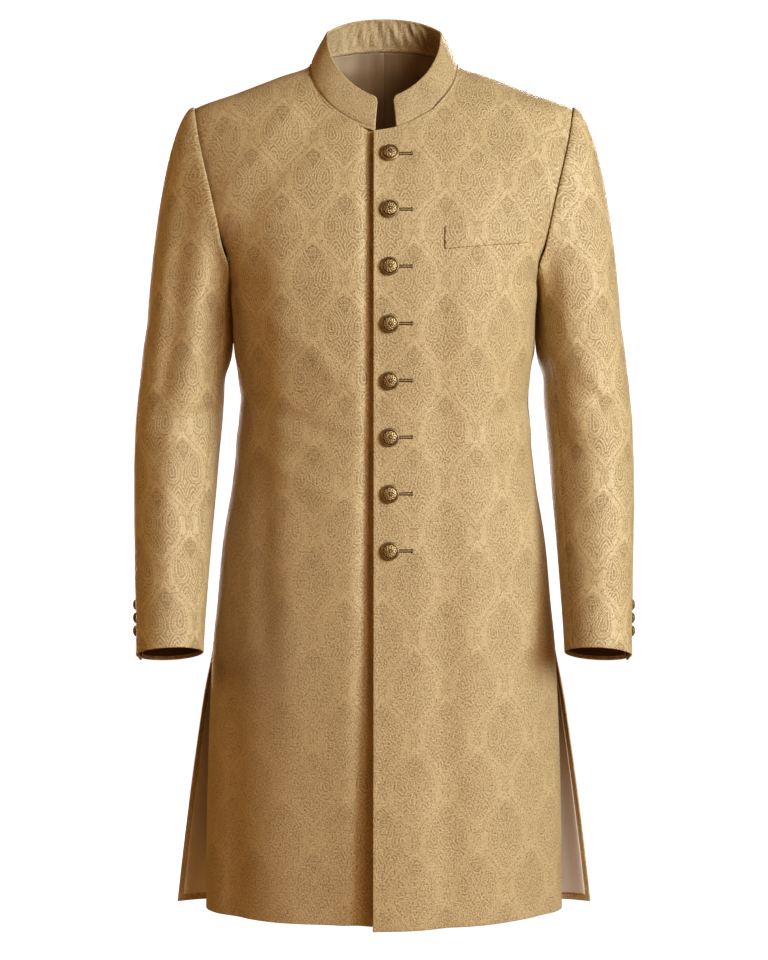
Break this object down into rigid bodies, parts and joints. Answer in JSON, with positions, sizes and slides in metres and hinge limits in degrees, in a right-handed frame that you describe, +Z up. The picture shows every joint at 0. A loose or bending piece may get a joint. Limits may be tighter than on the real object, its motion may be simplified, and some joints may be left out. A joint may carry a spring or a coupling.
{
  "type": "sherwani coat",
  "caption": "Knee-length south asian sherwani coat in gold brocade with a stand collar, button front, long sleeves and side vents, hollow as it is worn.",
  "frame": {"origin": "middle of the neck seam at shoulder height, where the wearer's shoulders carry the coat", "axes": "+Z up the wearer, +X towards the wearer's left, -Y out of the front"},
  "size_m": [0.5958, 0.2886, 1.0732],
  "materials": {
    "gold_brocade": "tone-on-tone silk jacquard brocade, soft sheen",
    "taupe_satin": "smooth satin lining",
    "antique_brass": "antiqued, embossed and worn bright on the raised parts"
  },
  "bodies": {
    "root": {"back": "gold_brocade", "front_left": "gold_brocade", "front_right": "gold_brocade", "lining_left": "taupe_satin", "lining_right": "taupe_satin", "top_sleeve_left": "gold_brocade", "top_sleeve_right": "gold_brocade", "under_sleeve_left": "gold_brocade", "under_sleeve_right": "gold_brocade", "collar": "gold_brocade", "pocket_welt": "gold_brocade", "button_1": "antique_brass", "button_2": "antique_brass", "button_3": "antique_brass", "button_4": "antique_brass", "button_5": "antique_brass", "button_6": "antique_brass", "button_7": "antique_brass", "button_8": "antique_brass", "cuff_button_left_1": "antique_brass", "cuff_button_left_2": "antique_brass", "cuff_button_left_3": "antique_brass", "cuff_button_right_1": "antique_brass", "cuff_button_right_2": "antique_brass", "cuff_button_right_3": "antique_brass"}
  },
  "joints": []
}
